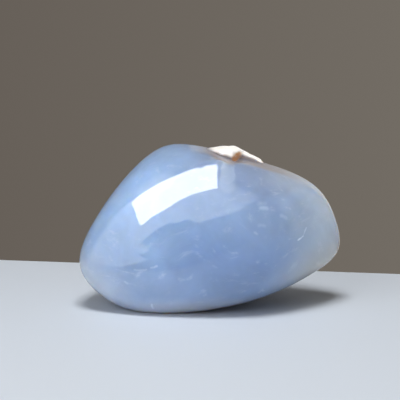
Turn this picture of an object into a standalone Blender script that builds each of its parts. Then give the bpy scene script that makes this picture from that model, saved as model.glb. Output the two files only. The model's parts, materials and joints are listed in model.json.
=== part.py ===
"""A palm-sized freeform of blue chalcedony: one tumbled, polished stone with a scrap of its rind.

The stone is one solid. Its form is a pillow: seven gently ground flats, seen from the front, give
the outline, and a front half and a back half of nearly elliptical section give the thickness.
Broad facets flatten the front and round the ends. Low rolls and hollows, about a millimetre high,
run along the crown and the cheek, where the wheel wandered. On the crown the wheel did not reach
the white natural rind, and in front of the rind is a small rust-filled pit.

Lengths are in millimetres until the points are written to the mesh. The form is described from
its heart, a point inside the stone: +X to the right, -Y to the front, +Z up.
"""

import math

import bmesh
import bpy
import numpy as np
from mathutils import Vector

MM = 0.001

# Driving dimensions, in millimetres and degrees.
HEART_HEIGHT = 17.6
HALF_DEPTH_FRONT = 18.5
HALF_DEPTH_BACK = 19.0

# The ground flats of the outline, seen from the front: (angle from +X, distance from the heart).
OUTLINE_FLATS = {
    "right_shoulder": (26.6, 27.7),
    "top_ramp": (75, 17.5),
    "crown": (126, 23.1),
    "left_slope": (151, 24.8),
    "left_keel": (229, 27.8),
    "belly": (272.5, 18.8),
    "right_keel": (291.6, 19.1),
}
# The broad facets: (bearing, tilt above level, distance from the heart). The cheeks round the plan.
FACETS = {
    "front_face": (-105, 11, 15.8),
    "left_brow": (-132, 49, 21.5),
    "front_right_cheek": (-45, -11, 22.0),
    "back_right_cheek": (66, 8, 19.9),
    "back_left_cheek": (138, 4, 27.0),
}
# How closely the polish follows the flats, and how boxy the section through the thickness is.
FLAT_POWER = 8
SECTION_POWER = 2.7

# The rolls and hollows: (centre, lean of the long axis from +X, half-length, half-width, rise).
ROLLS = {
    "crown_roll": ((-0.6, -9.35, 16.27), 31.4, 12.1, 2.2, 0.68),
    "shoulder_roll": ((2.17, -9.95, 15.66), 84.7, 3.9, 2.2, 1.21),
    "brow_roll": ((-3.75, -12.84, 10.62), 105.4, 2.3, 4.24, 0.33),
    "hollow": ((-3.5, -12.3, 12.18), -8.8, 11.7, 5.5, -0.42),
    "right_hollow": ((7.2, -14.6, 10.1), 112, 3.8, 4.2, -0.22),
}

# The rind: a low scab of natural crust, from left to right along the crown. Its front edge stands
# forward on the left and back on the right, and in the bend between them is the pit.
RIND_LEFT = -0.8
RIND_RIGHT = 12.6
RIND_BACK = 5.0
RIND_FRONT_LEFT = -2.5
RIND_FRONT_RIGHT = 0.9
RIND_TAPER = 3.4
RIND_TAPER_END = 3.0
RIND_PEAK = 5.0
RIND_RISE = 1.95
RIND_FADE_LEFT = 4.0
RIND_FADE_RIGHT = 6.0
LUMP_HEIGHT = 0.16
LUMP_LENGTH = 4.4
PIT_CENTRE = (6.1, -2.3)
PIT_HALF_SIZE = (1.8, 1.7)
PIT_DEPTH = 0.7

# The mesh: meridians and rings about an axis through the rind, with the rings closest there.
RIND_MIDDLE = (5.5, 0.2, 17.0)
MERIDIANS = 72
RINGS = 54
RING_CROWDING = 1.5


def facing(bearing, tilt):
    """The unit vector at this bearing from +X and this tilt above level, in degrees."""
    level = math.cos(math.radians(tilt))
    return np.array(
        [
            level * math.cos(math.radians(bearing)),
            level * math.sin(math.radians(bearing)),
            math.sin(math.radians(tilt)),
        ]
    )


def soft_maximum(values, power):
    """The largest value along the last axis, blended where two are close."""
    return (np.maximum(values, 0) ** power).sum(axis=-1) ** (1 / power)


def reach(points):
    """How far out each point lies, as a share of the way from the heart to the polished surface."""
    flats = np.array([facing(0, angle) / distance for angle, distance in OUTLINE_FLATS.values()])
    outline = soft_maximum(points @ flats.T, FLAT_POWER)
    half_depth = np.where(points[:, 1] < 0, -HALF_DEPTH_FRONT, HALF_DEPTH_BACK)
    thickness = points[:, 1] / half_depth
    pillow = soft_maximum(np.stack([outline, thickness], axis=-1), SECTION_POWER)
    facets = [
        points @ facing(bearing, tilt) / distance
        for bearing, tilt, distance in FACETS.values()
    ]
    return soft_maximum(np.stack([pillow, *facets], axis=-1), FLAT_POWER)


def bell(offset, half_width):
    """1 at no offset, falling smoothly to about a third at half_width."""
    return np.exp(-((offset / half_width) ** 2))


def smooth_step(value, low, high):
    """0 below low, 1 above high, with a soft ramp between them."""
    share = np.clip((value - low) / (high - low), 0, 1)
    return share * share * (3 - 2 * share)


def roll_height(points):
    """How far the rolls stand over the ground flats, and how far the hollows sink into them."""
    height = np.zeros(len(points))
    for centre, lean, half_length, half_width, rise in ROLLS.values():
        away = points - np.array(centre)
        along = away @ facing(0, lean)
        across = np.sqrt(np.maximum((away**2).sum(axis=1) - along**2, 0))
        height += rise * bell(along, half_length) * bell(across, half_width)
    return height


def lumps(points):
    """Uneven crust, between -1 and 1: three crossed ripples, two of them bent."""
    x, y, _ = (points * (2 * math.pi / LUMP_LENGTH)).T
    first = np.sin(x + 0.8 * np.sin(1.3 * y + 0.7))
    second = np.sin(0.62 * x - 1.1 * y + 2.1 + 0.9 * np.sin(0.8 * x))
    third = np.sin(1.7 * x + 1.9 * y + 0.4)
    return (first + second + 0.6 * third) / 2.6


def rind_cover(points):
    """1 on the rind and 0 on the polish."""
    x, y, z = points.T
    step_back = smooth_step(x, 4.6, 7.2)
    taper = 1 - smooth_step(x, RIND_LEFT, RIND_TAPER_END)
    front = RIND_FRONT_LEFT * (1 - step_back) + RIND_FRONT_RIGHT * step_back + RIND_TAPER * taper
    behind_front = smooth_step(y - front, -0.7, 0.5)
    before_back = 1 - smooth_step(y, RIND_BACK - 2.0, RIND_BACK)
    from_left = smooth_step(x, RIND_LEFT - 0.6, RIND_LEFT + 1.2)
    to_right = 1 - smooth_step(x, RIND_RIGHT - 1.6, RIND_RIGHT + 0.4)
    return behind_front * before_back * from_left * to_right * (z > 0)


def pit_share(points):
    """1 in the middle of the pit, falling to 0 around it."""
    across = (points[:, 0] - PIT_CENTRE[0]) / PIT_HALF_SIZE[0]
    along = (points[:, 1] - PIT_CENTRE[1]) / PIT_HALF_SIZE[1]
    return bell(np.hypot(across, along), 1) * (points[:, 2] > 0)


def rind_height(points):
    """How far the natural crust and its pit stand over the polished form."""
    from_peak = points[:, 0] - RIND_PEAK
    fade = np.where(from_peak < 0, RIND_FADE_LEFT, RIND_FADE_RIGHT)
    crust = RIND_RISE * bell(from_peak, fade) + LUMP_HEIGHT * lumps(points)
    return rind_cover(points) * crust - PIT_DEPTH * pit_share(points)


def surface(directions):
    """The stone's surface in these directions from its heart."""
    polished = directions / reach(directions)[:, None]
    relief = roll_height(polished) + rind_height(polished)
    return polished + directions * relief[:, None]


def sphere_about(axis):
    """A unit sphere whose poles lie on this axis, with its rings crowded towards the axis's tip."""
    mesh = bmesh.new()
    bmesh.ops.create_uvsphere(mesh, u_segments=MERIDIANS, v_segments=RINGS, radius=1)
    turn = Vector((0, 0, 1)).rotation_difference(axis)
    for vert in mesh.verts:
        polar = math.acos(max(-1, min(1, vert.co.z)))
        crowded = math.pi * (polar / math.pi) ** RING_CROWDING
        across = Vector((vert.co.x, vert.co.y, 0))
        if across.length > 0:
            across.normalize()
        vert.co = turn @ (across * math.sin(crowded) + Vector((0, 0, math.cos(crowded))))
    return mesh


def cut_foot(mesh, height):
    """Grind the underside flat at this height, and close it with one face."""
    everything = mesh.verts[:] + mesh.edges[:] + mesh.faces[:]
    cut = bmesh.ops.bisect_plane(
        mesh,
        geom=everything,
        dist=1e-5,
        plane_co=(0, 0, height),
        plane_no=(0, 0, -1),
        clear_outer=True,
    )
    rim = [item for item in cut["geom_cut"] if isinstance(item, bmesh.types.BMEdge)]
    bmesh.ops.edgeloop_fill(mesh, edges=rim)
    bmesh.ops.recalc_face_normals(mesh, faces=mesh.faces)


def centre_on_foot(mesh):
    """Move the stone so that the middle of its box stands over the origin, with its foot at z = 0."""
    points = np.array([vert.co for vert in mesh.verts])
    low = points.min(axis=0)
    high = points.max(axis=0)
    shift = Vector((-(low[0] + high[0]) / 2, -(low[1] + high[1]) / 2, -low[2]))
    bmesh.ops.translate(mesh, verts=mesh.verts, vec=shift)
    for vert in mesh.verts:
        if vert.co.z < 1e-7:
            vert.co.z = 0


def polished_chalcedony():
    """Fine fibrous quartz, milky lavender blue, with a wet-looking polish."""
    material = bpy.data.materials.new("polished_blue_chalcedony")
    material.use_nodes = True
    shader = material.node_tree.nodes["Principled BSDF"]
    shader.inputs["Base Color"].default_value = (0.33, 0.47, 0.71, 1)
    shader.inputs["Roughness"].default_value = 0.08
    shader.inputs["Metallic"].default_value = 0
    shader.inputs["IOR"].default_value = 1.54
    return material


def make_stone(collection):
    """The whole stone: the form on a fine sphere, ground flat below."""
    mesh = sphere_about(Vector(RIND_MIDDLE).normalized())
    directions = np.array([vert.co for vert in mesh.verts], dtype=float)
    directions /= np.linalg.norm(directions, axis=1)[:, None]
    for vert, place in zip(mesh.verts, surface(directions)):
        vert.co = Vector(place) * MM
    cut_foot(mesh, -HEART_HEIGHT * MM)
    centre_on_foot(mesh)
    data = bpy.data.meshes.new("chalcedony_stone")
    mesh.to_mesh(data)
    mesh.free()
    data.shade_smooth()
    data.set_sharp_from_angle(angle=math.radians(50))
    stone = bpy.data.objects.new("chalcedony_stone", data)
    stone.data.materials.append(polished_chalcedony())
    collection.objects.link(stone)
    return stone


def main():
    for old in list(bpy.data.objects):
        bpy.data.objects.remove(old)
    collection = bpy.data.collections.new("polished_blue_chalcedony")
    bpy.context.scene.collection.children.link(collection)
    make_stone(collection)


main()
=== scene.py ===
# %% [markdown]
# # A polished blue chalcedony
#
# Chalcedony is quartz in fibres too fine to see. Light scatters between the fibres, and blue light
# scatters most, so the stone looks like thin milk with a little blue in it. This one was ground and
# polished into a palm-sized freeform, and keeps a scab of its white natural rind on the crown.
#
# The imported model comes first. It gives the stone's real size and place, which nothing below changes.

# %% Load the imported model
import json
import math

import bmesh
import bpy
import numpy as np
from mathutils import Matrix, Vector

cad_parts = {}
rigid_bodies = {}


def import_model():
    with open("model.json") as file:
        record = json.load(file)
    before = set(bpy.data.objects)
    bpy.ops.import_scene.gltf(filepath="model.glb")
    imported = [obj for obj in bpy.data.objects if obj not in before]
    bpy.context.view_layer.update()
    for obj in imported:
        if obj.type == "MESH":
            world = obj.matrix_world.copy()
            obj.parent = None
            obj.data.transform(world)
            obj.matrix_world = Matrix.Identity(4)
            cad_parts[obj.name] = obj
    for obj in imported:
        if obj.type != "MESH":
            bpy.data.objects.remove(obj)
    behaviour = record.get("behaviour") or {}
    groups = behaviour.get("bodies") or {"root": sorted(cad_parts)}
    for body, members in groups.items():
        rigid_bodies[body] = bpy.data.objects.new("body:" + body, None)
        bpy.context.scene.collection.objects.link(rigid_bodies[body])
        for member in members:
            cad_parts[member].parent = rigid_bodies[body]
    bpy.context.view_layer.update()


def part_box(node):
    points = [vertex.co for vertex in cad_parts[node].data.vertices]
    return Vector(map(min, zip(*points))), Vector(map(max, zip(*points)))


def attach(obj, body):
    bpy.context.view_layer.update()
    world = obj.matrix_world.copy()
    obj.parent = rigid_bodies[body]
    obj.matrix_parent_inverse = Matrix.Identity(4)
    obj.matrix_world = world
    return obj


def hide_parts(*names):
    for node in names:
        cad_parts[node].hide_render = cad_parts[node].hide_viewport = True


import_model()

MM = 0.001
stone_low, stone_high = [np.array(corner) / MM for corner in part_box("chalcedony_stone")]
print("box of the packed stone, mm:", np.round(stone_high - stone_low, 1))

# %% [markdown]
# ## The form
#
# A ground stone is a set of broad flats whose edges have been rolled over by the polish. That can
# be written down directly: in any direction from the stone's heart, the surface is where the
# nearest flat is, and a soft maximum rounds the places where two flats meet. Seven flats give the
# outline from the front, one half-depth before and one behind give the thickness, and five facets
# flatten the face and round the ends. Sculpting by hand would give the same look, but not the same
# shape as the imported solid.
#
# All lengths are in millimetres from the heart: +X to the right, -Y to the front and +Z up.

# %% The ground flats, in millimetres and degrees
HEART_HEIGHT = 17.6
HALF_DEPTH_FRONT = 18.5
HALF_DEPTH_BACK = 19.0
FLAT_POWER = 8
SECTION_POWER = 2.7
# Each flat of the outline: angle from +X and distance from the heart, as seen from the front.
OUTLINE_FLATS = {
    "right_shoulder": (26.6, 27.7),
    "top_ramp": (75, 17.5),
    "crown": (126, 23.1),
    "left_slope": (151, 24.8),
    "left_keel": (229, 27.8),
    "belly": (272.5, 18.8),
    "right_keel": (291.6, 19.1),
}
# Each facet: bearing from +X, tilt above level and distance from the heart.
FACETS = {
    "front_face": (-105, 11, 15.8),
    "left_brow": (-132, 49, 21.5),
    "front_right_cheek": (-45, -11, 22.0),
    "back_right_cheek": (66, 8, 19.9),
    "back_left_cheek": (138, 4, 27.0),
}


def facing(bearing, tilt):
    """The unit vector at this bearing from +X and this tilt above level, in degrees."""
    level = math.cos(math.radians(tilt))
    return np.array(
        [
            level * math.cos(math.radians(bearing)),
            level * math.sin(math.radians(bearing)),
            math.sin(math.radians(tilt)),
        ]
    )


def soft_maximum(values, power):
    """The largest value along the last axis, blended where two are close."""
    return (np.maximum(values, 0) ** power).sum(axis=-1) ** (1 / power)


def reach(points):
    """How far out each point lies, as a share of the way from the heart to the polish."""
    flats = np.array([facing(0, angle) / distance for angle, distance in OUTLINE_FLATS.values()])
    outline = soft_maximum(points @ flats.T, FLAT_POWER)
    half_depth = np.where(points[:, 1] < 0, -HALF_DEPTH_FRONT, HALF_DEPTH_BACK)
    pillow = soft_maximum(np.stack([outline, points[:, 1] / half_depth], axis=-1), SECTION_POWER)
    facets = [points @ facing(bearing, tilt) / out for bearing, tilt, out in FACETS.values()]
    return soft_maximum(np.stack([pillow, *facets], axis=-1), FLAT_POWER)


print("flats:", len(OUTLINE_FLATS), "in the outline and", len(FACETS), "facets")

# %% [markdown]
# ## Low rolls and hollows
#
# A hand-held stone never comes off the wheel quite flat. Three low rolls run along the crown and
# down the brow, with two shallow hollows beside them. All are about a millimetre or less, and on a
# polished surface such small shapes show only by how they steer the reflections. A sculpting brush
# would do this too. Here each is a bell round a line, which keeps its place and size as numbers,
# and it is added along the direction from the heart, so that the stone stays one solid.

# %% The rolls and hollows
# Each: centre, lean of the long axis from +X, half-length, half-width and rise.
ROLLS = {
    "crown_roll": ((-0.6, -9.35, 16.27), 31.4, 12.1, 2.2, 0.68),
    "shoulder_roll": ((2.17, -9.95, 15.66), 84.7, 3.9, 2.2, 1.21),
    "brow_roll": ((-3.75, -12.84, 10.62), 105.4, 2.3, 4.24, 0.33),
    "hollow": ((-3.5, -12.3, 12.18), -8.8, 11.7, 5.5, -0.42),
    "right_hollow": ((7.2, -14.6, 10.1), 112, 3.8, 4.2, -0.22),
}


def bell(offset, half_width):
    """1 at no offset, falling smoothly to about a third at half_width."""
    return np.exp(-((offset / half_width) ** 2))


def roll_height(points):
    """How far the rolls stand over the ground flats, and how far the hollows sink into them."""
    height = np.zeros(len(points))
    for centre, lean, half_length, half_width, rise in ROLLS.values():
        away = points - np.array(centre)
        along = away @ facing(0, lean)
        across = np.sqrt(np.maximum((away**2).sum(axis=1) - along**2, 0))
        height += rise * bell(along, half_length) * bell(across, half_width)
    return height


print("highest roll, mm:", max(rise for *_, rise in ROLLS.values()))

# %% [markdown]
# ## Where the rind is
#
# On the crown the wheel stopped short of the natural rind, a low chalky scab. Its front edge steps
# back towards the right. A mask could be painted for it, but a few soft edges give the same patch
# and can be moved by a number. The cover is 1 on the rind and 0 beside it, and it is used twice:
# for the height of the crust, and later for its white skin.

# %% The cover of the rind
RIND_LEFT = -0.8
RIND_RIGHT = 12.6
RIND_BACK = 5.0
RIND_FRONT_LEFT = -2.5
RIND_FRONT_RIGHT = 0.9
RIND_STEP = (4.6, 7.2)
RIND_TAPER = 3.4
RIND_TAPER_END = 3.0
# Each side has a soft edge: where it starts and ends, from the side's own line.
FRONT_EDGE = (-0.7, 0.5)
BACK_EDGE = (-2.0, 0.0)
LEFT_EDGE = (-0.6, 1.2)
RIGHT_EDGE = (-1.6, 0.4)


def smooth_step(value, low, high):
    """0 below low, 1 above high, with a soft ramp between them."""
    share = np.clip((value - low) / (high - low), 0, 1)
    return share * share * (3 - 2 * share)


def rind_front(x):
    """How far behind the heart the rind's front edge runs at this x."""
    step_back = smooth_step(x, *RIND_STEP)
    taper = 1 - smooth_step(x, RIND_LEFT, RIND_TAPER_END)
    return RIND_FRONT_LEFT * (1 - step_back) + RIND_FRONT_RIGHT * step_back + RIND_TAPER * taper


def rind_cover(points):
    """1 on the rind and 0 on the polish."""
    x, y, z = points.T
    behind_front = smooth_step(y - rind_front(x), *FRONT_EDGE)
    before_back = 1 - smooth_step(y - RIND_BACK, *BACK_EDGE)
    from_left = smooth_step(x - RIND_LEFT, *LEFT_EDGE)
    to_right = 1 - smooth_step(x - RIND_RIGHT, *RIGHT_EDGE)
    return behind_front * before_back * from_left * to_right * (z > 0)


print("rind from", RIND_LEFT, "to", RIND_RIGHT, "mm right of the heart")

# %% [markdown]
# ## How high the rind stands
#
# The crust is highest left of its middle and falls away to both sides, with an uneven top. Where the
# front edge steps back there is a small pit, and iron has rusted in it. A displacement texture on the
# finish would do for the crust alone, but heights on the mesh are part of the shape itself.

# %% The crust and the pit
RIND_PEAK = 5.0
RIND_RISE = 1.95
RIND_FADE_LEFT = 4.0
RIND_FADE_RIGHT = 6.0
LUMP_HEIGHT = 0.16
LUMP_LENGTH = 4.4
PIT_CENTRE = (6.1, -2.3)
PIT_HALF_SIZE = (1.8, 1.7)
PIT_DEPTH = 0.7


def lumps(points):
    """Uneven crust, between -1 and 1: three crossed ripples, two of them bent."""
    x, y, _ = (points * (2 * math.pi / LUMP_LENGTH)).T
    # The odd factors and offsets keep the ripples from lining up into a grid.
    first = np.sin(x + 0.8 * np.sin(1.3 * y + 0.7))
    second = np.sin(0.62 * x - 1.1 * y + 2.1 + 0.9 * np.sin(0.8 * x))
    third = np.sin(1.7 * x + 1.9 * y + 0.4)
    return (first + second + 0.6 * third) / 2.6


def pit_share(points):
    """1 in the middle of the pit, falling to 0 around it."""
    across = (points[:, 0] - PIT_CENTRE[0]) / PIT_HALF_SIZE[0]
    along = (points[:, 1] - PIT_CENTRE[1]) / PIT_HALF_SIZE[1]
    return bell(np.hypot(across, along), 1) * (points[:, 2] > 0)


def rind_height(points):
    """How far the natural crust and its pit stand over the polished form."""
    from_peak = points[:, 0] - RIND_PEAK
    fade = np.where(from_peak < 0, RIND_FADE_LEFT, RIND_FADE_RIGHT)
    crust = RIND_RISE * bell(from_peak, fade) + LUMP_HEIGHT * lumps(points)
    return rind_cover(points) * crust - PIT_DEPTH * pit_share(points)


print("rind", RIND_RISE, "mm high at its peak, pit", PIT_DEPTH, "mm deep")

# %% [markdown]
# ## Where each finish goes
#
# The white skin doesn't cover all of the rind: its left tip is rubbed, and behind it thins out in
# an uneven edge. Iron has run out of the pit over the front edge. Each of these is a share from 0
# to 1 at every point of the surface. That suits the job better than a painted picture: the shares
# follow the relief exactly, and nothing has to be unwrapped.

# %% The white skin and the rust
# The skin starts softly where the cover passes this share, and the right side needs more of it.
SKIN_START = 0.15
SKIN_START_RIGHT = 0.25
SKIN_BEND = (4.0, 6.5)
SKIN_SOFTNESS = 0.35
SKIN_TIP = (-1.2, 1.4)
SKIN_MIDDLE = 5.9
SKIN_HALF_LENGTH = 9.2
SKIN_BACK = 1
SKIN_BACK_DEPTH = 3.1
SKIN_EDGE = (0.86, 1.0)
SKIN_RAGGEDNESS = 0.2
SKIN_RIPPLES = 1.1
STAIN_MIDDLE = 5.8
STAIN_HALF_WIDTH = 1.05
STAIN_FRONT_EDGE = (-1.5, -0.5)
STAIN_BACK_EDGE = (-0.1, 0.5)


def skin_share(points):
    """1 where the white skin is left on the rind, fading over its rubbed left tip and behind."""
    x, y, _ = points.T
    start = SKIN_START + SKIN_START_RIGHT * smooth_step(x, *SKIN_BEND)
    skin = smooth_step(rind_cover(points), start, start + SKIN_SOFTNESS)
    skin = skin * smooth_step(x, *SKIN_TIP)
    along = (x - SKIN_MIDDLE) / SKIN_HALF_LENGTH
    behind = np.maximum(y - SKIN_BACK, 0) / SKIN_BACK_DEPTH
    far_back = np.hypot(along, behind) + SKIN_RAGGEDNESS * lumps(SKIN_RIPPLES * points)
    return skin * (1 - smooth_step(far_back, *SKIN_EDGE))


def stain_share(points):
    """1 where iron has run out of the pit, over the front edge of the rind."""
    x, y, z = points.T
    from_front = y - rind_front(x)
    near_edge = smooth_step(from_front, *STAIN_FRONT_EDGE)
    near_edge = near_edge * (1 - smooth_step(from_front, *STAIN_BACK_EDGE))
    return bell(x - STAIN_MIDDLE, STAIN_HALF_WIDTH) * near_edge * (z > 0)


print("rust", 2 * STAIN_HALF_WIDTH, "mm wide,", STAIN_MIDDLE, "mm right of the heart")

# %% [markdown]
# ## The worn zone
#
# Round the rind lies a taupe zone that the wheel only just reached. The last of the skin was ground
# thin there and dulls the polish. Its edge wanders like a shoreline, so the crust's ripples are
# used once more, drawn out to two and a half times their length.

# %% The share of the worn zone
WORN_FRONT_EDGE = (-7.0, -4.2)
WORN_BACK_EDGE = (3.0, 12.0)
WORN_LEFT_EDGE = (-4.0, 0.5)
WORN_RIGHT_EDGE = (13.0, 24.0)
WORN_WANDER = 2.5
WORN_FRONT_WANDER = 0.3
WORN_RIPPLES = 0.4


def worn_share(points):
    """1 where the skin round the rind was ground thin, and 0 on the clear polish."""
    x, y, z = points.T
    wander = WORN_WANDER * lumps(WORN_RIPPLES * points)
    from_front = y - rind_front(x) + WORN_FRONT_WANDER * wander
    near_front = smooth_step(from_front, *WORN_FRONT_EDGE)
    near_back = 1 - smooth_step(y + wander, *WORN_BACK_EDGE)
    along_crest = smooth_step(x, *WORN_LEFT_EDGE) * (1 - smooth_step(x, *WORN_RIGHT_EDGE))
    return near_front * near_back * along_crest * (z > 0)


print("worn zone from", WORN_LEFT_EDGE[0], "to", WORN_RIGHT_EDGE[1], "mm right of the heart")

# %% [markdown]
# ## The mesh
#
# A UV sphere carries the form: every vertex keeps its direction and moves out to the surface. Its
# pole is turned to the rind and its rings are crowded there, because that is where the smallest
# shapes are. A sphere with triangles of one size would need far more of them for the same crust.

# %% A sphere turned to the rind
MERIDIANS = 350
RINGS = 270
RING_CROWDING = 1.5
RIND_MIDDLE = (5.5, 0.2, 17.0)


def uv_sphere(name):
    """A plain unit sphere mesh."""
    ball = bmesh.new()
    bmesh.ops.create_uvsphere(ball, u_segments=MERIDIANS, v_segments=RINGS, radius=1)
    mesh = bpy.data.meshes.new(name)
    ball.to_mesh(mesh)
    ball.free()
    return mesh


def sphere_directions(mesh):
    """Unit directions of a UV sphere's vertices, its pole turned to the rind and its rings crowded."""
    flat = np.empty(len(mesh.vertices) * 3)
    mesh.vertices.foreach_get("co", flat)
    x, y, z = flat.reshape(-1, 3).T
    polar = math.pi * (np.arccos(np.clip(z, -1, 1)) / math.pi) ** RING_CROWDING
    turn = np.arctan2(y, x)
    level = np.sin(polar)
    points = np.stack([level * np.cos(turn), level * np.sin(turn), np.cos(polar)], -1)
    lean = Vector((0, 0, 1)).rotation_difference(Vector(RIND_MIDDLE).normalized())
    return points @ np.array(lean.to_matrix()).T


mesh = uv_sphere("polished_stone")
directions = sphere_directions(mesh)
print("vertices on the sphere:", len(directions))

# %% [markdown]
# ## From sphere to stone
#
# The directions become points on the polish, the relief is added, and the stone is set down where
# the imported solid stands. The shares of skin, rust and worn zone are stored on the vertices before
# the foot is cut, while the vertices still match the points they were worked out for.

# %% Move the vertices out
def keep_share(mesh, name, share):
    """Store one number a vertex under this name."""
    layer = mesh.attributes.new(name, "FLOAT", "POINT")
    layer.data.foreach_set("value", share.astype(np.float32))


polished = directions / reach(directions)[:, None]
relief = roll_height(polished) + rind_height(polished)
points = polished + directions * relief[:, None]
box_middle = (points.min(axis=0) + points.max(axis=0)) / 2
heart = np.array([*((stone_low + stone_high) / 2 - box_middle)[:2], HEART_HEIGHT])
mesh.vertices.foreach_set("co", ((points + heart) * MM).ravel())
keep_share(mesh, "rind", skin_share(polished))
keep_share(mesh, "stain", stain_share(polished))
keep_share(mesh, "worn", worn_share(polished))
print("heart of the stone, mm:", np.round(heart, 2))

# %% [markdown]
# ## The foot
#
# The stone rests on one small flat, worn under its heavy end. A modifier could cut it, but a cut of the
# mesh at the height of the table leaves a plain mesh with one flat face. Smooth shading rolls over
# every edge that bends by less than forty degrees. The last lines tie the stone to the packed model:
# the body it rides on and the solid it stands for.

# %% Cut the foot and place the stone
# A vertex this near to the plane, in metres, counts as on it.
ON_PLANE_WITHIN = 1e-7
SHARP_FROM_DEGREES = 40


def cut_foot(mesh):
    """Grind the underside flat at z = 0 and close it with one face."""
    solid = bmesh.new()
    solid.from_mesh(mesh)
    cut = bmesh.ops.bisect_plane(
        solid,
        geom=solid.verts[:] + solid.edges[:] + solid.faces[:],
        dist=ON_PLANE_WITHIN,
        plane_co=(0, 0, 0),
        plane_no=(0, 0, -1),
        clear_outer=True,
    )
    rim = [item for item in cut["geom_cut"] if isinstance(item, bmesh.types.BMEdge)]
    bmesh.ops.edgeloop_fill(solid, edges=rim)
    bmesh.ops.recalc_face_normals(solid, faces=solid.faces)
    solid.to_mesh(mesh)
    solid.free()


cut_foot(mesh)
mesh.shade_smooth()
mesh.set_sharp_from_angle(angle=math.radians(SHARP_FROM_DEGREES))
stone = bpy.data.objects.new("polished_stone", mesh)
bpy.context.scene.collection.objects.link(stone)
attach(stone, "root")
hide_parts("chalcedony_stone")
print("vertices on the stone:", len(mesh.vertices))

# %% [markdown]
# ## The camera
#
# A long lens from 450 millimetres away keeps the outline nearly free of perspective, as in a
# product picture, and looks down by ten degrees. It is aimed a little above and to the left of the
# heart, so that the stone sits low and right in the frame. A Track To constraint would aim it too,
# but two lines of trigonometry show where it stands.

# %% Set the camera
LENS_MM = 177
CAMERA_DISTANCE = 450
CAMERA_ELEVATION = 10
AIM_LEFT = 2.3
AIM_UP = 6.6
NEAREST_SEEN = 10

tilt = math.radians(CAMERA_ELEVATION)
view_up = np.array([0, math.sin(tilt), math.cos(tilt)])
towards_camera = np.array([0, -math.cos(tilt), math.sin(tilt)])
aim = heart + np.array([-AIM_LEFT, 0, 0]) + AIM_UP * view_up
camera_data = bpy.data.cameras.new("camera")
camera_data.lens = LENS_MM
camera_data.clip_start = NEAREST_SEEN * MM
camera = bpy.data.objects.new("camera", camera_data)
camera.location = (aim + CAMERA_DISTANCE * towards_camera) * MM
camera.rotation_euler = (math.radians(90 - CAMERA_ELEVATION), 0, 0)
bpy.context.scene.collection.objects.link(camera)
bpy.context.scene.camera = camera
print("camera at, mm:", np.round(np.array(camera.location) / MM))

# %% [markdown]
# ## Colours and nodes
#
# A material is a tree of nodes. One small function adds a node, sets its properties, and fills its
# inputs with either plain values or the outputs of other nodes, so that each step below reads as
# one sentence. Colours are written as the hex values that a paint program shows, and are turned to
# the linear values that light adds up in: middle grey gives off only a fifth of white's light.

# %% Colour and node helpers
def linear(code):
    """An sRGB hex colour as linear RGBA."""
    shares = [int(code[i : i + 2], 16) / 255 for i in (1, 3, 5)]
    return (*[s / 12.92 if s <= 0.04045 else ((s + 0.055) / 1.055) ** 2.4 for s in shares], 1)


def add_node(tree, kind, inputs=None, output=0, **settings):
    """Add a node, set it up, feed its inputs, and give back one of its outputs."""
    node = tree.nodes.new(kind)
    for name, value in settings.items():
        setattr(node, name, value)
    for socket, value in (inputs or {}).items():
        if isinstance(value, bpy.types.NodeSocket):
            tree.links.new(value, node.inputs[socket])
        else:
            node.inputs[socket].default_value = value
    return node.outputs[output]


print("middle grey as linear light:", np.round(linear("#808080"), 3))

# %% [markdown]
# ## The table
#
# The stone lies on a pale board. Its back edge is about four centimetres behind the stone's middle,
# and runs a little downhill to the right because the board is turned. Only its top and that edge
# are seen, so a box with rounded edges is enough, and a plane would miss the edge.
#
# The real one is a board with rolled matt paint. That gives the eye no sharp highlight, only a
# broad soft gradient and the stone's shadow. The grain that a roller leaves would not show.

# %% The painted table
TABLE_EDGE_BEHIND = 39.6
TABLE_TURN = 9.7
TABLE_WIDTH = 1600
TABLE_REACH = 900
TABLE_THICKNESS = 20
TABLE_EDGE_ROUNDING = 0.5
TABLE_PAINT = "#c8d0da"
PAINT_ROUGHNESS = 0.6
PAINT_SPECULAR = 0.3

slab = bmesh.new()
bmesh.ops.create_cube(slab, size=1)
table_size = (TABLE_WIDTH * MM, TABLE_REACH * MM, TABLE_THICKNESS * MM)
bmesh.ops.scale(slab, verts=slab.verts, vec=table_size)
table_middle = (0, (TABLE_EDGE_BEHIND - TABLE_REACH / 2) * MM, -TABLE_THICKNESS / 2 * MM)
bmesh.ops.translate(slab, verts=slab.verts, vec=table_middle)
rounding = TABLE_EDGE_ROUNDING * MM
bmesh.ops.bevel(slab, geom=slab.edges[:], offset=rounding, segments=2, affect="EDGES")
table_mesh = bpy.data.meshes.new("table")
slab.to_mesh(table_mesh)
slab.free()
table = bpy.data.objects.new("table", table_mesh)
table.rotation_euler = (0, 0, math.radians(-TABLE_TURN))
bpy.context.scene.collection.objects.link(table)

paint = bpy.data.materials.new("matte_table_paint")
paint.use_nodes = True
paint_shader = paint.node_tree.nodes["Principled BSDF"]
paint_shader.inputs["Base Color"].default_value = linear(TABLE_PAINT)
paint_shader.inputs["Roughness"].default_value = PAINT_ROUGHNESS
paint_shader.inputs["Specular IOR Level"].default_value = PAINT_SPECULAR
table_mesh.materials.append(paint)
print("table edge", TABLE_EDGE_BEHIND, "mm behind the origin")

# %% [markdown]
# ## The studio
#
# Beyond the table there is nothing but a taupe studio, a little lighter to the right. Walls would
# have to be lit. As the world's colour the studio needs no lamp, shows behind the stone from any
# side, and tints the reflections that miss the lamps.

# %% The taupe studio
TAUPE_LEFT = "#665f58"
TAUPE_RIGHT = "#736d65"
# How far a look turns to each side, as the x of its direction, before the colour is reached.
TAUPE_TURN = 0.12

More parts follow.
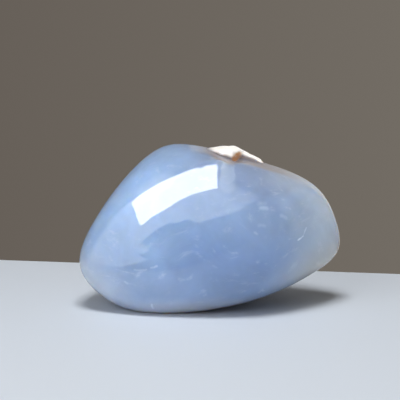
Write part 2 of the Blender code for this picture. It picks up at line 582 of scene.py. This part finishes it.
world = bpy.data.worlds.new("taupe_studio")
world.use_nodes = True
sky = world.node_tree
look = add_node(sky, "ShaderNodeTexCoord", output="Generated")
look_x = add_node(sky, "ShaderNodeSeparateXYZ", {0: look}, output="X")
across = add_node(
    sky,
    "ShaderNodeMapRange",
    {"Value": look_x, "From Min": -TAUPE_TURN, "From Max": TAUPE_TURN},
)
taupe = add_node(
    sky,
    "ShaderNodeMix",
    {0: across, 6: linear(TAUPE_LEFT), 7: linear(TAUPE_RIGHT)},
    output=2,
    data_type="RGBA",
)
sky.links.new(taupe, sky.nodes["Background"].inputs["Color"])
bpy.context.scene.world = world
bpy.context.scene.view_settings.view_transform = "Standard"
print("studio from", TAUPE_LEFT, "to", TAUPE_RIGHT)

# %% [markdown]
# ## The softbox
#
# Polish is a mirror, so a lamp does two jobs: it lights the milk, and its picture shows in the
# gloss. Here each job gets its own lamps. The softbox stands to the front left, turned on its
# corner, and is seen only in the gloss. Its bright core is the white band below the crown, and the
# dim skirt round it is the pale sheen over the left of the face. The skirt is cut into sheets that
# touch but don't overlap, because the light of lamps that overlap adds up. Only the core hangs in
# front of one.

# %% Hang the softbox
# Millimetres from the heart, then degrees: left of the camera, up, and turned on its corner.
SOFTBOX_DISTANCE = 500
SOFTBOX_LEFT = 42.4
SOFTBOX_ELEVATION = 41.3
SOFTBOX_ROLL = 50.2
# Each sheet: its left, right, low and high side, how far behind it hangs, and its radiance.
SOFTBOX_SHEETS = {
    "softbox_core": (-165, 165, -176, 176, 0, 11.4),
    "softbox_skirt_left": (-620, -188, -300, 219, 12, 2.0),
    "softbox_skirt_foot": (-345, -220, -345, -300, 12, 2.0),
    "softbox_skirt_middle": (-188, 166, -250, 200, 12, 2.8),
    "softbox_skirt_low": (-106, 60, -317, -250, 12, 2.6),
    "softbox_skirt_nook": (-132, -106, -270, -250, 12, 2.5),
    "softbox_skirt_corner": (60, 125, -286, -250, 12, 2.3),
    "softbox_skirt_right": (166, 280, -215, -100, 12, 2.0),
    "softbox_skirt_far": (280, 420, -195, -60, 12, 1.3),
}


def aimed(distance, left, elevation, roll=0):
    """A lamp's matrix: its distance from the heart, its bearing left of the camera, height and turn."""
    level = distance * math.cos(math.radians(elevation))
    bearing = math.radians(left)
    rise = distance * math.sin(math.radians(elevation))
    out = Vector((-math.sin(bearing) * level, -math.cos(bearing) * level, rise)).normalized()
    side = Vector((0, 0, 1)).cross(out).normalized()
    turn = Matrix.Rotation(math.radians(roll), 3, out)
    place = Matrix((turn @ side, turn @ out.cross(side), out)).transposed().to_4x4()
    place.translation = (Vector(heart) + distance * out) * MM
    return place


def hang(name, place, size, radiance, shift=(0, 0, 0)):
    """A rectangular lamp of this radiance, shifted from its place by millimetres of its own axes."""
    data = bpy.data.lights.new(name, "AREA")
    data.shape = "RECTANGLE"
    data.size, data.size_y = [side * MM for side in size]
    data.energy = radiance * math.pi * data.size * data.size_y
    lamp = bpy.data.objects.new(name, data)
    lamp.matrix_world = place @ Matrix.Translation(Vector(shift) * MM)
    bpy.context.scene.collection.objects.link(lamp)
    print(name, "power, W:", round(data.energy, 2))
    return lamp


softbox = aimed(SOFTBOX_DISTANCE, SOFTBOX_LEFT, SOFTBOX_ELEVATION, SOFTBOX_ROLL)
for name, (left, right, low, high, back, radiance) in SOFTBOX_SHEETS.items():
    shift = ((left + right) / 2, (low + high) / 2, back)
    sheet = hang(name, softbox, (right - left, high - low), radiance, shift)
    sheet.visible_diffuse = False
    sheet.visible_transmission = False

# %% [markdown]
# ## The other lamps
#
# The rest of the light comes from five lamps that the gloss doesn't show. A small one high above
# throws the short dark shadow, and a large one in front lightens the table. Three large ones, in
# front, at the right and behind, fill the milky body. Light linking keeps the two sets apart: a
# lamp lights only what is in its receiver collection, so the table can be set without changing the
# stone.
#
# Last comes a dim panel low behind the stone, seen in the gloss alone. It makes the edge of the
# outline a little paler, where the polish is seen at a slant and any polish turns into a mirror.

# %% Hang the other lamps
# Each lamp: distance, bearing left of the camera, elevation, size, radiance and what it lights.
LAMPS = {
    "top_lamp": (420, 6, 73, (150, 150), 22.0, table),
    "fill_lamp": (600, 28, 45, (500, 400), 5.7, stone),
    "front_lamp": (600, 35, 30, (400, 300), 2.5, table),
    "right_lamp": (600, -60, 25, (400, 300), 2.7, stone),
    "back_lamp": (500, -140, 30, (400, 300), 3.6, stone),
}
RIM_PLACE = (500, -166, 4)
RIM_SIZE = (230, 400)
RIM_RADIANCE = 0.32

receivers = {}
for lit in (stone, table):
    receivers[lit] = bpy.data.collections.new("lights_" + lit.name)
    receivers[lit].objects.link(lit)
for name, (distance, left, elevation, size, radiance, lit) in LAMPS.items():
    lamp = hang(name, aimed(distance, left, elevation), size, radiance)
    lamp.visible_glossy = False
    lamp.light_linking.receiver_collection = receivers[lit]
rim = hang("rim_panel", aimed(*RIM_PLACE), RIM_SIZE, RIM_RADIANCE)
rim.visible_diffuse = False
rim.visible_transmission = False
rim.visible_camera = False

# %% [markdown]
# ## The finish: polished blue chalcedony
#
# Light enters through the polish, scatters in the milky body and comes out some millimetres away,
# so the body is subsurface scattering under one sharp gloss. A coloured glass would look too clear,
# and plain paint too dead.
#
# Real chalcedony is milky in zones some centimetres across: here paler at the upper left, deeper in the
# middle and greyer at the thin right end. Each zone is a soft oval of colour, placed in millimetres
# from the heart as seen from the front. Five zones are painted light instead. The pale lower left, the
# pale foot and the pale bottom edge light an underside that the lamps leave in shade. The lighter oval
# on the left of the face is a painted sheen. The warm grey of the thin right tip is painted light of
# the taupe studio shining through it.

# %% The body: milk in zones
BODY_BLUE = "#879ec0"
# Each zone: colour, centre (x, z), half-size (x, z) and strength.
PATCHES = {
    "upper_milk": ("#a1c1eb", (-20, 14), (34, 27), 1.0),
    # painted light: pales the lower left, an underside that the lamps leave in shade
    "left_keel": ("#e4ebf0", (-34, -20), (21, 21), 1.0),
    "deep_middle": ("#7791ba", (4, -5), (27, 11), 1.0),
    "crest": ("#8a98b6", (16, 20), (35, 14), 1.0),
    "grey_end": ("#afbfd1", (27, 6), (13, 28), 1.0),
    # painted light: the warm grey of the thin tip is the taupe studio's light shining through it
    "warm_tip": ("#bab8ad", (30, -13), (20, 15), 1.0),
    "tan_crest": ("#a5b2c5", (22, 13), (15, 4), 1.0),
    # painted light: a pale band at the foot, lighting an underside that the lamps leave in shade
    "foot_glow": ("#d7d9e3", (1, -17), (38, 5), 0.6),
    # painted sheen: a lighter oval on the left of the face
    "left_glow": ("#9ebade", (-15, -2), (11, 8), 0.7),
    # painted light: a pale rim along the bottom edge, where the underside stays in shade
    "foot_edge": ("#f6f7fb", (-2, -19.5), (36, 4.5), 0.9),
}

finish = bpy.data.materials.new("polished_blue_chalcedony")
finish.use_nodes = True
tree = finish.node_tree
shader = tree.nodes["Principled BSDF"]
from_origin = add_node(tree, "ShaderNodeTexCoord", output="Object")
place = add_node(
    tree,
    "ShaderNodeVectorMath",
    {0: from_origin, 1: (1 / MM,) * 3, 2: -heart},
    operation="MULTIPLY_ADD",
)
colour = linear(BODY_BLUE)
for tint, (x, z), (half_x, half_z), strength in PATCHES.values():
    away = add_node(
        tree,
        "ShaderNodeVectorMath",
        {0: place, 1: (1 / half_x, 0, 1 / half_z), 2: (-x / half_x, 0, -z / half_z)},
        operation="MULTIPLY_ADD",
    )
    far = add_node(tree, "ShaderNodeVectorMath", {0: away}, output="Value", operation="LENGTH")
    share = add_node(
        tree,
        "ShaderNodeMapRange",
        {"Value": far, "To Min": strength, "To Max": 0},
        interpolation_type="SMOOTHSTEP",
    )
    colour = add_node(
        tree,
        "ShaderNodeMix",
        {0: share, 6: colour, 7: linear(tint)},
        output=2,
        data_type="RGBA",
    )
print("zones in the body:", ", ".join(PATCHES))

# %% [markdown]
# ## Clouds
#
# Inside the zones the milk is uneven, in clouds a centimetre or two across with a mottle of a few
# millimetres in them. Both are noises. A third one bends them first, so that they curl round each
# other as if stirred. They change the lightness only a little, and not the hue.

# %% The body: clouds and mottle
CLOUD_MM = 15
BEND_MM = 12
MOTTLE_MM = 4.5
MOTTLE_SHARE = 0.35
MILK_RANGE = (0.5, 0.85)
MILK_LIGHTNESS = (0.9, 1.1)

bend = add_node(
    tree,
    "ShaderNodeTexNoise",
    {"Vector": place, "Scale": 1 / CLOUD_MM, "Detail": 2},
    output="Color",
)
bent = add_node(
    tree,
    "ShaderNodeVectorMath",
    {0: bend, 1: (BEND_MM,) * 3, 2: place},
    operation="MULTIPLY_ADD",
)
cloud = add_node(
    tree,
    "ShaderNodeTexNoise",
    {"Vector": bent, "Scale": 1 / CLOUD_MM, "Detail": 4, "Roughness": 0.55},
)
mottle = add_node(
    tree,
    "ShaderNodeTexNoise",
    {"Vector": bent, "Scale": 1 / MOTTLE_MM, "Detail": 3, "Roughness": 0.6},
)
milk = add_node(
    tree,
    "ShaderNodeMath",
    {0: mottle, 1: MOTTLE_SHARE, 2: cloud},
    operation="MULTIPLY_ADD",
)
milkiness = add_node(
    tree,
    "ShaderNodeMapRange",
    {
        "Value": milk,
        "From Min": MILK_RANGE[0],
        "From Max": MILK_RANGE[1],
        "To Min": MILK_LIGHTNESS[0],
        "To Max": MILK_LIGHTNESS[1],
    },
)
colour = add_node(
    tree,
    "ShaderNodeVectorMath",
    {0: colour, "Scale": milkiness},
    operation="SCALE",
)
print("clouds of", CLOUD_MM, "mm with a mottle of", MOTTLE_MM, "mm")

# %% [markdown]
# ## Wisps
#
# Thin feathery wisps lie in the clouds, where the fibres are a little coarser. They are one more
# noise, squeezed so that they lie nearly level. Real ones are a tenth or two of a millimetre thick,
# less than one pixel, so they are drawn more than ten times as coarse as they are.

# %% The body: wisps
WISP_WHITE = "#e6effb"
WISP_MM = 2.6
WISP_SQUEEZE = (0.7, 1, 1.5)
WISP_RANGE = (0.54, 0.78)
WISP_SHARE = 0.2

squeezed = add_node(
    tree,
    "ShaderNodeVectorMath",
    {0: bent, 1: WISP_SQUEEZE},
    operation="MULTIPLY",
)
wisp = add_node(
    tree,
    "ShaderNodeTexNoise",
    {"Vector": squeezed, "Scale": 1 / WISP_MM, "Detail": 5, "Roughness": 0.65},
)
wisps = add_node(
    tree,
    "ShaderNodeMapRange",
    {
        "Value": wisp,
        "From Min": WISP_RANGE[0],
        "From Max": WISP_RANGE[1],
        "To Max": WISP_SHARE,
    },
    interpolation_type="SMOOTHSTEP",
)
colour = add_node(
    tree,
    "ShaderNodeMix",
    {0: wisps, 6: colour, 7: linear(WISP_WHITE)},
    output=2,
    data_type="RGBA",
)
print("wisps of", WISP_MM, "mm, white by up to", WISP_SHARE)

# %% [markdown]
# ## Marks inside the stone
#
# Healed cracks and feathery veils catch the light just under the polish. Each is a short line in the
# stone. The three stripes at the end are no mark in the stone but a painted reflection: an upright band
# of the softbox's light below the rind, drawn in the same way. Modelled cracks would break the
# reflections, but the polish over the real ones is whole, so they are only colour.
# Their ends are given as seen from the front, and a search finds how deep the surface lies there.

# %% Where the marks are
# Each mark: start (x, z), end (x, z), half-width, blur and strength.
MARKS = {
    "crescent_low": ((19.6, -0.4), (20.7, 0.3), 0.03, 0.3, 0.8),
    "crescent_high": ((20.7, 0.3), (21.4, 2.0), 0.0, 0.3, 0.5),
    "dash": ((11.2, 7.7), (12.5, 7.5), 0.0, 0.75, 0.25),
    "dash_upper": ((11.0, 8.6), (12.3, 8.5), 0.0, 0.9, 0.09),
    "dash_right": ((15.7, 5.8), (16.7, 5.2), 0.0, 0.85, 0.2),
    "dot": ((17.5, 7.2), (17.8, 6.9), 0.0, 0.5, 0.22),
    "speck": ((9.9, 2.3), (10.3, 1.9), 0.0, 0.5, 0.18),
    "small_dash": ((10.8, 3.9), (12.0, 3.7), 0.0, 0.7, 0.11),
    "left_dash": ((-13.2, -6.1), (-11.9, -5.8), 0.0, 0.4, 0.28),
    "left_line": ((-17.0, -6.7), (-14.2, -6.6), 0.0, 0.3, 0.16),
    "left_fleck": ((-19.1, -9.7), (-18.6, -10.0), 0.05, 0.35, 0.15),
    "chip": ((-13.0, -14.8), (-12.8, -15.9), 0.05, 0.35, 0.4),
    "veil": ((16.5, 8.5), (19.5, 2.0), 0.1, 3.0, 0.08),
    "pale_patch": ((-15.0, 10.0), (-10.2, 13.0), 0.5, 2.5, 0.2),
    # painted reflection: these three stripes are an upright band of the softbox's light, not marks in
    # the stone
    "painted_reflection_top": ((3.8, 16.6), (3.8, 15.0), 1.35, 0.6, 0.2),
    "painted_reflection_middle": ((3.8, 15.0), (3.8, 13.8), 1.35, 0.6, 0.2),
    "painted_reflection_low": ((3.8, 13.8), (3.8, 12.5), 1.1, 1.2, 0.13),
}
SEARCH_FROM = -30.0
SEARCH_STEPS = 30


def on_front(x, z):
    """The front surface's point at this x and z, in millimetres from the heart."""
    outside, inside = SEARCH_FROM, 0.0
    for _ in range(SEARCH_STEPS):
        y = (outside + inside) / 2
        if reach(np.array([[x, y, z]]))[0] > 1:
            outside = y
        else:
            inside = y
    point = np.array([[x, y, z]])
    return (point * (1 + roll_height(point) / np.linalg.norm(point)))[0]


marked_lines = {
    name: (on_front(*start), on_front(*end)) for name, (start, end, *_) in MARKS.items()
}
print("marks:", len(MARKS), "and the first starts at", np.round(marked_lines["crescent_low"][0], 1))

# %% [markdown]
# ## Drawing the marks
#
# The material measures how far a point is from each line, and lightens what is close. A healed
# crack is never straight, so each point is first shaken a little with a noise: the same trick as
# drawing with an unsteady hand. The noise is one half on average, so half of the shake is taken off
# again.

# %% Draw the marks
# the same pale blue also draws the painted reflection stripes
MARK_COLOUR = "#e2f0ff"
SHAKE_LENGTH = 2.0
SHAKE_REACH = 0.9

shake = add_node(
    tree,
    "ShaderNodeTexNoise",
    {"Vector": place, "Scale": 1 / SHAKE_LENGTH, "Detail": 5},
    output="Color",
)
shaken = add_node(
    tree,
    "ShaderNodeVectorMath",
    {0: shake, 1: (SHAKE_REACH,) * 3, 2: place},
    operation="MULTIPLY_ADD",
)
steady = add_node(
    tree,
    "ShaderNodeVectorMath",
    {0: shaken, 1: (SHAKE_REACH / 2,) * 3},
    operation="SUBTRACT",
)
marked = 0.0
for name, (start, end) in marked_lines.items():
    width, blur, strength = MARKS[name][2:]
    line = end - start
    rest = add_node(tree, "ShaderNodeVectorMath", {0: steady, 1: start}, operation="SUBTRACT")
    along = add_node(
        tree,
        "ShaderNodeVectorMath",
        {0: rest, 1: line / (line @ line)},
        output="Value",
        operation="DOT_PRODUCT",
    )
    within = add_node(tree, "ShaderNodeClamp", {0: along})
    nearest = add_node(
        tree,
        "ShaderNodeVectorMath",
        {0: line, "Scale": within},
        operation="SCALE",
    )
    away = add_node(
        tree,
        "ShaderNodeVectorMath",
        {0: rest, 1: nearest},
        output="Value",
        operation="DISTANCE",
    )
    share = add_node(
        tree,
        "ShaderNodeMapRange",
        {
            "Value": away,
            "From Min": width,
            "From Max": width + blur,
            "To Min": strength,
            "To Max": 0,
        },
        interpolation_type="SMOOTHSTEP",
    )
    marked = add_node(tree, "ShaderNodeMath", {0: share, 1: marked}, operation="MAXIMUM")
colour = add_node(
    tree,
    "ShaderNodeMix",
    {0: marked, 6: colour, 7: linear(MARK_COLOUR)},
    output=2,
    data_type="RGBA",
)
print("strongest mark:", max(strength for *_, strength in MARKS.values()))

# %% [markdown]
# ## The worn zone, the skin and the rust
#
# Three more surfaces lie over the body, each where its share on the mesh says. The worn zone is
# skin ground thin, a taupe film that still lets some milk through. The skin is weathered quartz,
# porous and chalky, which the eye sees as plain white. The rust is iron oxide in the pit's pores, a
# soft brown that the wisps' noise breaks into patches. Chalk and rust have a grain of hundredths of
# a millimetre, far too fine to show, so they get no pattern of their own.

# %% Lay them over the body
RIND_WHITE = "#fbf7f3"
RUST = "#b98a5c"
WORN_GREY = "#857f80"
WORN_COVER = 0.85
RUST_NOISE_RANGE = (0.38, 0.62)
RUST_PATCHINESS = (0.6, 1.35)
RUST_RANGE = (0.2, 1.0)

rind = add_node(tree, "ShaderNodeAttribute", attribute_name="rind", output="Fac")
stain = add_node(tree, "ShaderNodeAttribute", attribute_name="stain", output="Fac")
worn = add_node(tree, "ShaderNodeAttribute", attribute_name="worn", output="Fac")
thin = add_node(tree, "ShaderNodeMapRange", {"Value": worn, "To Max": WORN_COVER})
patchy = add_node(
    tree,
    "ShaderNodeMapRange",
    {
        "Value": wisp,
        "From Min": RUST_NOISE_RANGE[0],
        "From Max": RUST_NOISE_RANGE[1],
        "To Min": RUST_PATCHINESS[0],
        "To Max": RUST_PATCHINESS[1],
    },
)
uneven = add_node(tree, "ShaderNodeMath", {0: patchy, 1: stain}, operation="MULTIPLY")
rust = add_node(
    tree,
    "ShaderNodeMapRange",
    {"Value": uneven, "From Min": RUST_RANGE[0], "From Max": RUST_RANGE[1]},
    interpolation_type="SMOOTHSTEP",
)
for share, tint in ((thin, WORN_GREY), (rind, RIND_WHITE), (rust, RUST)):
    colour = add_node(
        tree,
        "ShaderNodeMix",
        {0: share, 6: colour, 7: linear(tint)},
        output=2,
        data_type="RGBA",
    )
print("worn zone", WORN_GREY, "skin", RIND_WHITE, "rust", RUST)

# %% [markdown]
# ## Gloss and scatter
#
# Tumbled and buffed quartz is almost a mirror: the eye sees crisp lamps over soft milk, which is
# what makes the stone look wet. Its index of refraction is about 1.54. Chalk and rust have no
# gloss, and the worn zone stands between the two.
#
# The scatter reaches furthest in red, so the milk looks blue where light bounces back and turns to warm
# grey where light has come right through. At the thin right end that warm grey is painted into the
# colour as well. Light hardly passes into chalk or rust, so the scatter fades there.

# %% Wire the gloss and the scatter
POLISH_ROUGHNESS = 0.01
CHALK_ROUGHNESS = 0.65
WORN_DULLNESS = 0.38
CHALK_SCATTER = 0.2
SCATTER_MM = 14
SCATTER_REACH = (1.0, 0.72, 0.5)
QUARTZ_IOR = 1.54

natural = add_node(tree, "ShaderNodeMath", {0: rind, 1: rust}, operation="MAXIMUM")
dull = add_node(
    tree,
    "ShaderNodeMath",
    {0: worn, 1: WORN_DULLNESS, 2: natural},
    operation="MULTIPLY_ADD",
    use_clamp=True,
)
roughness = add_node(
    tree,
    "ShaderNodeMapRange",
    {"Value": dull, "To Min": POLISH_ROUGHNESS, "To Max": CHALK_ROUGHNESS},
)
scatter = add_node(
    tree,
    "ShaderNodeMapRange",
    {"Value": natural, "To Min": 1, "To Max": CHALK_SCATTER},
)
tree.links.new(colour, shader.inputs["Base Color"])
tree.links.new(roughness, shader.inputs["Roughness"])
tree.links.new(scatter, shader.inputs["Subsurface Weight"])
shader.inputs["Subsurface Radius"].default_value = SCATTER_REACH
shader.inputs["Subsurface Scale"].default_value = SCATTER_MM * MM
shader.inputs["IOR"].default_value = QUARTZ_IOR
stone.data.materials.append(finish)
print("finish:", finish.name, "with", len(tree.nodes), "nodes")
